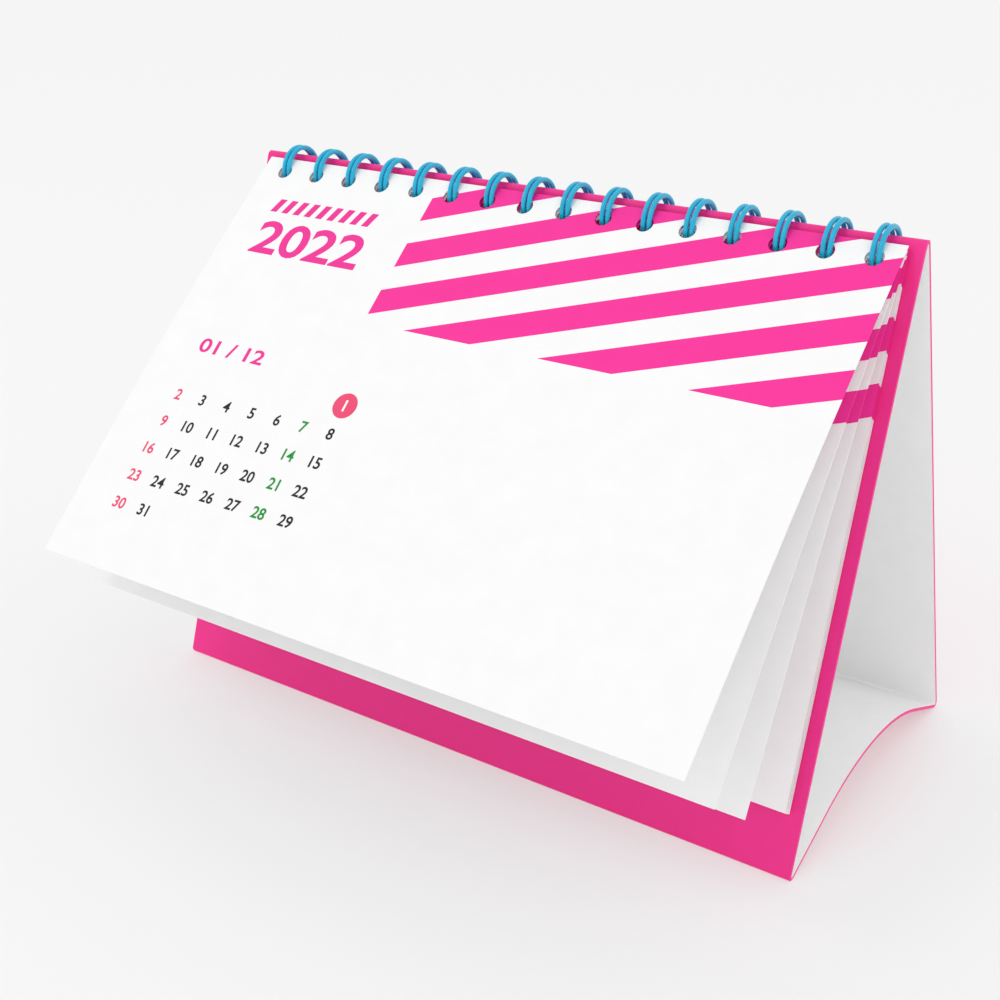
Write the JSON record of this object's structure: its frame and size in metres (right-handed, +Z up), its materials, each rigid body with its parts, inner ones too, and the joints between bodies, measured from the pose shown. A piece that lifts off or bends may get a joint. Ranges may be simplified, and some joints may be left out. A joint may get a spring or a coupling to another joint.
{
  "type": "desk calendar",
  "caption": "Desk calendar: a folded board tent with printed leaves hung on a twin-loop wire through its ridge.",
  "frame": {"origin": "middle of the front fold's flat foot, on the table", "axes": "+X to the calendar's right along the ridge, -Y to the front where the leaves are read, +Z up"},
  "size_m": [0.213, 0.1595, 0.1578],
  "materials": {
    "pink_board": "satin",
    "blue_wire": "gloss",
    "leaf_paper": "matt"
  },
  "bodies": {
    "root": {"tent_base": "pink_board", "binding_wire": "blue_wire", "leaf_1": "leaf_paper", "leaf_2": "leaf_paper", "leaf_3": "leaf_paper", "leaf_4": "leaf_paper", "leaf_5": "leaf_paper", "leaf_6": "leaf_paper"}
  },
  "joints": []
}
